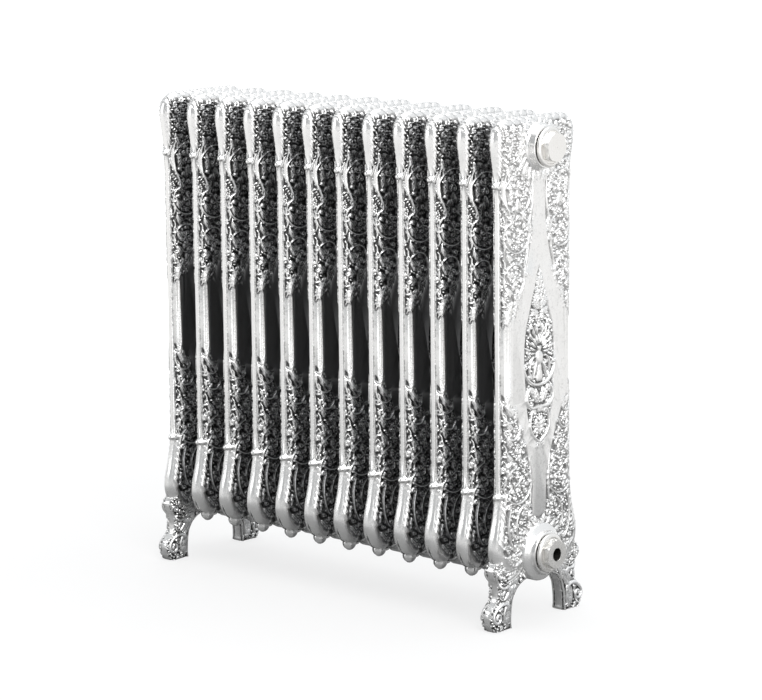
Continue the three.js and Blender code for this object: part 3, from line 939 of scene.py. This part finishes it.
def satin_nickel():
    """Warm grey plate over turned brass, with faint turning and handling marks. The bore is matt, with a
    painted shade.
    """
    n = Look("satin_nickel", 1.0)
    marks = n.turning_marks(120, 5, 16)
    smear = n.noise(30, 4, 0.5, 0.6)
    plate = n.mix(smear, (0.74, 0.725, 0.7), (0.84, 0.83, 0.81))
    off_axis = n.add("ShaderNodeVectorMath", {0: n.place, 1: (0, 1, 1)}, operation="MULTIPLY")
    beyond_bore = n.remap(n.length(off_axis.outputs["Vector"]), 0.0102, 0.0107)
    outside = n.math("MAXIMUM", beyond_bore, n.remap(n.part(n.place, "X"), 0.0172, 0.0179))
    # Inside the bore the colour is near black: a painted shade in the hole.
    n.colour(n.mix(outside, (0.03, 0.028, 0.026), plate))
    matt_inside = n.math("MULTIPLY", n.math("SUBTRACT", 1.0, outside), 0.5)
    n.roughness(n.math("ADD", n.remap(n.math("ADD", marks, smear), 0.6, 1.4, 0.2, 0.36), matt_inside))
    n.bump(marks, 0.08, 0.0002)
    return n.owner


def fibre():
    """Black pressed fibre."""
    n = Look("fibre", 0.0)
    threads = n.noise(500, 4, 0.7)
    n.colour(n.mix(threads, (0.018, 0.018, 0.019), (0.06, 0.06, 0.062)))
    n.roughness(n.remap(threads, 0.3, 0.7, 0.75, 0.95))
    n.bump(threads, 0.4, 0.0003)
    return n.owner


def nylon():
    """Milky white plastic."""
    n = Look("nylon", 0.0)
    n.colour(n.mix(n.noise(70, 3), (0.78, 0.77, 0.72), (0.86, 0.85, 0.81)))
    n.roughness(n.remap(n.noise(600, 3), 0.3, 0.7, 0.38, 0.55))
    n.bump(n.noise(900, 2), 0.12, 0.0002)
    return n.owner


# The materials, by the slot that each one fills.
LOOKS = {
    "polished_cast_iron": burnished_iron(),
    "nipple_iron": turned_metal(
        "machined_iron", (90, 6, 14), 60, (0.09, 0.088, 0.085), (0.2, 0.195, 0.19), (0.35, 0.6), (0.2, 0.0003)
    ),
    "satin_nickel": satin_nickel(),
    "vent_brass": turned_metal(
        "turned_brass", (160, 5, 12), 90, (0.55, 0.38, 0.15), (0.74, 0.56, 0.28), (0.22, 0.42), (0.1, 0.0002)
    ),
    "gasket_fibre": fibre(),
    "vent_nylon": nylon(),
}


def add_piece(name, mesh, slot, node, at, turned_round=False, spin=0):
    """Puts a mesh in place of its CAD node. spin turns it about its own axis, in degrees."""
    piece = bpy.data.objects.new(name, mesh)
    bpy.context.scene.collection.objects.link(piece)
    if not mesh.materials:
        mesh.materials.append(LOOKS[slot])
    piece.location = at
    piece.rotation_euler = (math.radians(spin), 0, math.pi if turned_round else 0)
    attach(piece, frame["nodes"][node]["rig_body"])
    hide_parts(node)


def centre_of(node):
    low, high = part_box(node)
    return (low + high) / 2


def build_sections():
    """The twelve castings. All middle ones share a mesh, and so do the two with legs."""
    body = Plate(BODY_OUTLINE, HALF_THICKNESS, NOSE_DEPTH, RIB_HALF, body_map())
    legs = Plate(LEG_OUTLINE, LEG_HALF_THICKNESS, LEG_ROUNDING, LEG_RIB_HALF, leg_map())
    middle = mesh_from_field("middle_casting", body, None, MIDDLE_FACES)
    end = mesh_from_field("leg_casting", body, legs, LEG_FACES)
    for node in sorted(frame["nodes"]):
        for prefix, mesh, name in (("section_", middle, "casting_"), ("leg_section_", end, "leg_casting_")):
            if node.startswith(prefix):
                x = centre_of(node).x
                far = mesh == end and x < 0
                add_piece(name + node[-2:], mesh, "polished_cast_iron", node, (x, 0, 0), far)


def join_rings(shape, rings):
    """Closes rings of points into a tube whose last ring meets its first."""
    sides = len(rings[0])
    for a, b in zip(rings, rings[1:] + rings[:1]):
        for k in range(sides):
            shape.faces.new((a[k], a[(k + 1) % sides], b[(k + 1) % sides], b[k]))
    bmesh.ops.recalc_face_normals(shape, faces=shape.faces)


def lathe(name, profile, sides=96):
    """A closed mesh turned about the X axis, from end to end of a list of (x, radius) in millimetres.

    A radius is a number, or a function of the angle and x.
    """
    shape = bmesh.new()
    rings = []
    for x, radius in profile:
        ring = []
        for k in range(sides):
            angle = 2 * math.pi * k / sides
            r = radius(angle, x) if callable(radius) else radius
            ring.append(shape.verts.new((x * MM, r * math.cos(angle) * MM, r * math.sin(angle) * MM)))
        rings.append(ring)
    join_rings(shape, rings)
    mesh = bpy.data.meshes.new(name)
    shape.to_mesh(mesh)
    shape.free()
    mesh.shade_smooth()
    mesh.set_sharp_from_angle(angle=math.radians(SHARP_ANGLE))
    return mesh


def hexagon(across_flats, corner_radius):
    """The radius of a hexagon at each angle, with its corners turned down to corner_radius."""

    def radius(angle, _x):
        from_flat = (angle - math.pi / 6) % (math.pi / 3) - math.pi / 6
        return min(across_flats / 2 / math.cos(from_flat), corner_radius)

    return radius


def square(half):
    """The radius of a square at each angle."""

    def radius(angle, _x):
        return half / max(abs(math.cos(angle)), abs(math.sin(angle)))

    return radius


def thread(radius, depth, pitch, turns_sign=1):
    """The radius of a screw thread at each angle and place along it."""

    def at(angle, x):
        phase = (x / pitch - turns_sign * angle / (2 * math.pi)) % 1
        return radius - depth * abs(2 * phase - 1)

    return at


def steps(low, high, count, radius):
    """A stretch of a profile along which the radius is one number or function."""
    return [(low + (high - low) * i / count, radius) for i in range(count + 1)]


def build_nipples():
    """Tubes threaded right-handed at one end and left-handed at the other, with two lugs inside."""
    half, taper = 14.5, 1.5

    def outside(angle, x):
        edge = min((half - abs(x)) * 0.9, taper)
        return thread(HUB_THREAD_RADIUS, 1.4, HUB_PITCH, 1 if x > 0 else -1)(angle, x) - (taper - edge)

    def inside(angle, _x):
        lug = smooth(0.93, 0.96, abs(math.cos(angle)))
        return 16.5 - 3.6 * float(lug)

    mesh = lathe("nipple", steps(-half, half, 50, outside) + steps(half, -half, 4, inside), 72)
    for node in sorted(frame["nodes"]):
        if "_nipple_" in node:
            name = node.replace("_nipple_", "_threaded_nipple_")
            add_piece(name, mesh, "nipple_iron", node, centre_of(node))


def fitting_profile():
    """A bush without its hole: threaded spigot, rounded flange and a chamfered hexagon."""
    hex_side = hexagon(HEX_FLATS, 24.4)
    chamfered = hexagon(HEX_FLATS, 22.6)
    spigot = steps(-15.4, 1.0, 34, thread(HUB_THREAD_RADIUS, 1.3, HUB_PITCH))
    return [(SPIGOT_END, 18.6)] + spigot + [
        (2.1, 20.0), (2.1, 29.6), (2.5, 30.6), (3.3, 31.0), (4.6, 30.9), (5.9, 30.2), (6.9, 28.9),
        (7.4, 27.4), (7.6, 26.2), (6.6, 25.4), (6.6, hex_side), (16.0, hex_side), (HEX_END, chamfered),
        (HEX_END, 20.0),
    ]


def ported_profile():
    """A bush with a threaded hole for a valve."""
    wall = steps(17.0, -15.0, 60, thread(PORT_RADIUS + PORT_THREAD, PORT_THREAD, 1.814))
    return fitting_profile() + [(HEX_END, PORT_RADIUS + 1.2)] + wall + [(SPIGOT_END, PORT_RADIUS + 0.6)]


def build_bushes():
    """The two valve bushes, the blank plug and the vent bush, each with its joint ring."""
    ported = lathe("valve_bush", ported_profile())
    plug = lathe("blank_plug", fitting_profile() + [(HEX_END, 0.4), (SPIGOT_END, 0.4)])
    ring = lathe("joint_ring", [(0.3, 21.5), (0.3, 28.6), (0.5, 28.9), (1.6, 28.9), (1.8, 28.6), (1.8, 21.5)])
    pocket = [(HEX_END, 15.2), (17.2, 14.2), (2.6, 14.0), (2.6, 5.3), (SPIGOT_END, 5.3)]
    vent = lathe("vent_bush", fitting_profile()[:-1] + pocket)
    low, high = (height * MM for height in HUB_HEIGHTS)
    for end, x in (("right", NEAR_END), ("left", FAR_END)):
        for level, z in (("bottom", low), ("top", high)):
            name = f"{level}_joint_ring_{end}"
            add_piece(name, ring, "gasket_fibre", f"{level}_gasket_{end}", (x, 0, z), x < 0)
        add_piece(f"ported_bush_{end}", ported, "satin_nickel", f"valve_bush_{end}", (x, 0, low), x < 0)
    add_piece("plug", plug, "satin_nickel", "blank_plug", (NEAR_END, 0, high), spin=15)
    add_piece("vent_holder", vent, "satin_nickel", "vent_bush", (FAR_END, 0, high), True)


def build_vent():
    """The air vent: a turned body with a lip, a white ring with a spout, and a needle with a square end."""
    at = (FAR_END, 0, HUB_HEIGHTS[1] * MM)
    nut = hexagon(14, 7.7)
    key = square(1.9)
    body = [(-8, 4.2)] + steps(-7.6, 2.6, 34, thread(4.9, 0.5, 0.907)) + [
        (2.8, 4.6), (2.8, nut), (5.6, nut), (6.0, 6.9), (6.0, 4.6), (13.0, 4.6), (13.0, 6.2), (13.3, 6.6),
        (15.1, 6.6), (15.4, 6.3), (15.4, 3.6), (15.0, 3.2), (-4.3, 3.2), (-8, 1.6),
    ]
    needle = [(-4, 0.05), (-1, 2.6), (12.4, 2.6), (12.4, key), (17.2, key), (17.6, 1.7), (17.6, 0.05)]
    ring = [
        (6.4, 5.4), (6.4, 8.1), (6.7, 8.4), (12.3, 8.4), (12.6, 8.1), (12.6, 5.4), (12.3, 5.1), (6.7, 5.1),
    ]
    nozzle = lathe("vent_nozzle", ring, 72)
    add_spout(nozzle, [(8.0, 2.2), (11.8, 1.8), (12.2, 1.5), (12.2, 1.0), (8.0, 0.9)])
    add_piece("vent_turned_body", lathe("vent_body", body, 72), "vent_brass", "vent_body", at, True)
    add_piece("vent_key_needle", lathe("vent_needle", needle, 48), "vent_brass", "vent_needle", at, True)
    add_piece("vent_aimed_ring", nozzle, "vent_nylon", "vent_nozzle_ring", at, True)


def add_spout(mesh, profile, x=9.5, sides=24):
    """A short tapered tube that points down from the ring. profile is a list of (depth, radius)."""
    shape = bmesh.new()
    shape.from_mesh(mesh)
    rings = []
    for depth, radius in profile:
        ring = []
        for k in range(sides):
            angle = 2 * math.pi * k / sides
            spot = (x + radius * math.cos(angle), radius * math.sin(angle), -depth)
            ring.append(shape.verts.new([c * MM for c in spot]))
        rings.append(ring)
    join_rings(shape, rings)
    shape.to_mesh(mesh)
    shape.free()


def build_floor():
    """White paper that stays white far from the lamps, with a soft shadow under the object.

    The object sees a darker paper close to it, so that its lower parts aren't washed out.
    """
    bpy.ops.mesh.primitive_plane_add(size=40)
    floor = bpy.context.object
    floor.name = "floor"
    n = Look("pale_floor", 0.0)
    n.colour(n.mix(n.noise(3, 3), (0.64, 0.64, 0.64), (0.7, 0.7, 0.7)))
    n.roughness(0.7)
    distance = n.length(n.place)
    seen = n.either(0.76, n.shader.outputs["BSDF"], n.glow(n.remap(distance, 0.5, 3.5, 1.0, 1.5)))
    near = n.add("ShaderNodeBsdfDiffuse", {"Color": (0.3, 0.3, 0.3, 1)}).outputs["BSDF"]
    lit = n.either(n.remap(distance, 0.5, 2.0, 0.0, 0.9), near, n.glow(1.2))
    n.show(seen, lit, "Material Output")
    floor.data.materials.append(n.owner)


def build_lamps():
    """Large soft boxes: one over the near end, one in front, one above and one beside the near end."""
    lamps = (
        ("key", (2.6, -1.4, 2.9), 1.6, 60),
        ("front", (-2.2, -3.0, 1.5), 1.6, 26),
        ("top", (0.0, 0.2, 3.2), 2.4, 60),
        ("side", (3.3, -0.75, 0.9), 2.2, 25),
    )
    for name, place, size, power in lamps:
        data = bpy.data.lights.new(name, "AREA")
        data.size = size
        data.energy = power
        lamp = bpy.data.objects.new(name, data)
        bpy.context.scene.collection.objects.link(lamp)
        lamp.location = place
        aim = Vector((0, 0, 0.4)) - Vector(place)
        lamp.rotation_euler = aim.to_track_quat("-Z", "Y").to_euler()


def build_surround():
    """A white background that lights the object as a pale grey room, brighter behind it than in front."""
    n = Nodes(bpy.data.worlds.new("studio"))
    bpy.context.scene.world = n.owner
    seen = n.tree.nodes["Background"]
    n.set(seen.inputs["Color"], (1, 1, 1, 1))
    back = n.part(n.coordinates["Generated"], "Y")
    brightness = {"Value": back, "From Min": -0.45, "From Max": 0.1, "To Min": 0.6, "To Max": 1.2}
    strength = n.add("ShaderNodeMapRange", brightness).outputs["Result"]
    lit = n.add("ShaderNodeBackground", {"Color": (0.86, 0.88, 0.9, 1), "Strength": strength})
    n.show(seen.outputs["Background"], lit.outputs["Background"], "World Output")


def build_camera():
    """The viewpoint: ahead and to the right of the near end, a little above the middle."""
    azimuth, elevation, roll = (math.radians(a) for a in (41.23, 9.93, 0.54))
    data = bpy.data.cameras.new("camera")
    data.lens = 143.6
    data.shift_x = -0.0037
    data.shift_y = -0.0468
    camera = bpy.data.objects.new("camera", data)
    bpy.context.scene.collection.objects.link(camera)
    level = math.cos(elevation)
    back = Vector((math.sin(azimuth) * level, -math.cos(azimuth) * level, math.sin(elevation)))
    right = Vector((math.cos(azimuth), math.sin(azimuth), 0))
    up = back.cross(right)
    rolled_right = right * math.cos(roll) - up * math.sin(roll)
    rolled_up = right * math.sin(roll) + up * math.cos(roll)
    turn = Matrix((rolled_right, rolled_up, back)).transposed().to_4x4()
    camera.matrix_world = Matrix.Translation((3.2204, -3.6193, 1.2927)) @ turn
    bpy.context.scene.camera = camera


build_sections()
build_nipples()
build_bushes()
build_vent()
build_floor()
build_lamps()
build_surround()
build_camera()
bpy.context.scene.view_settings.view_transform = "Standard"
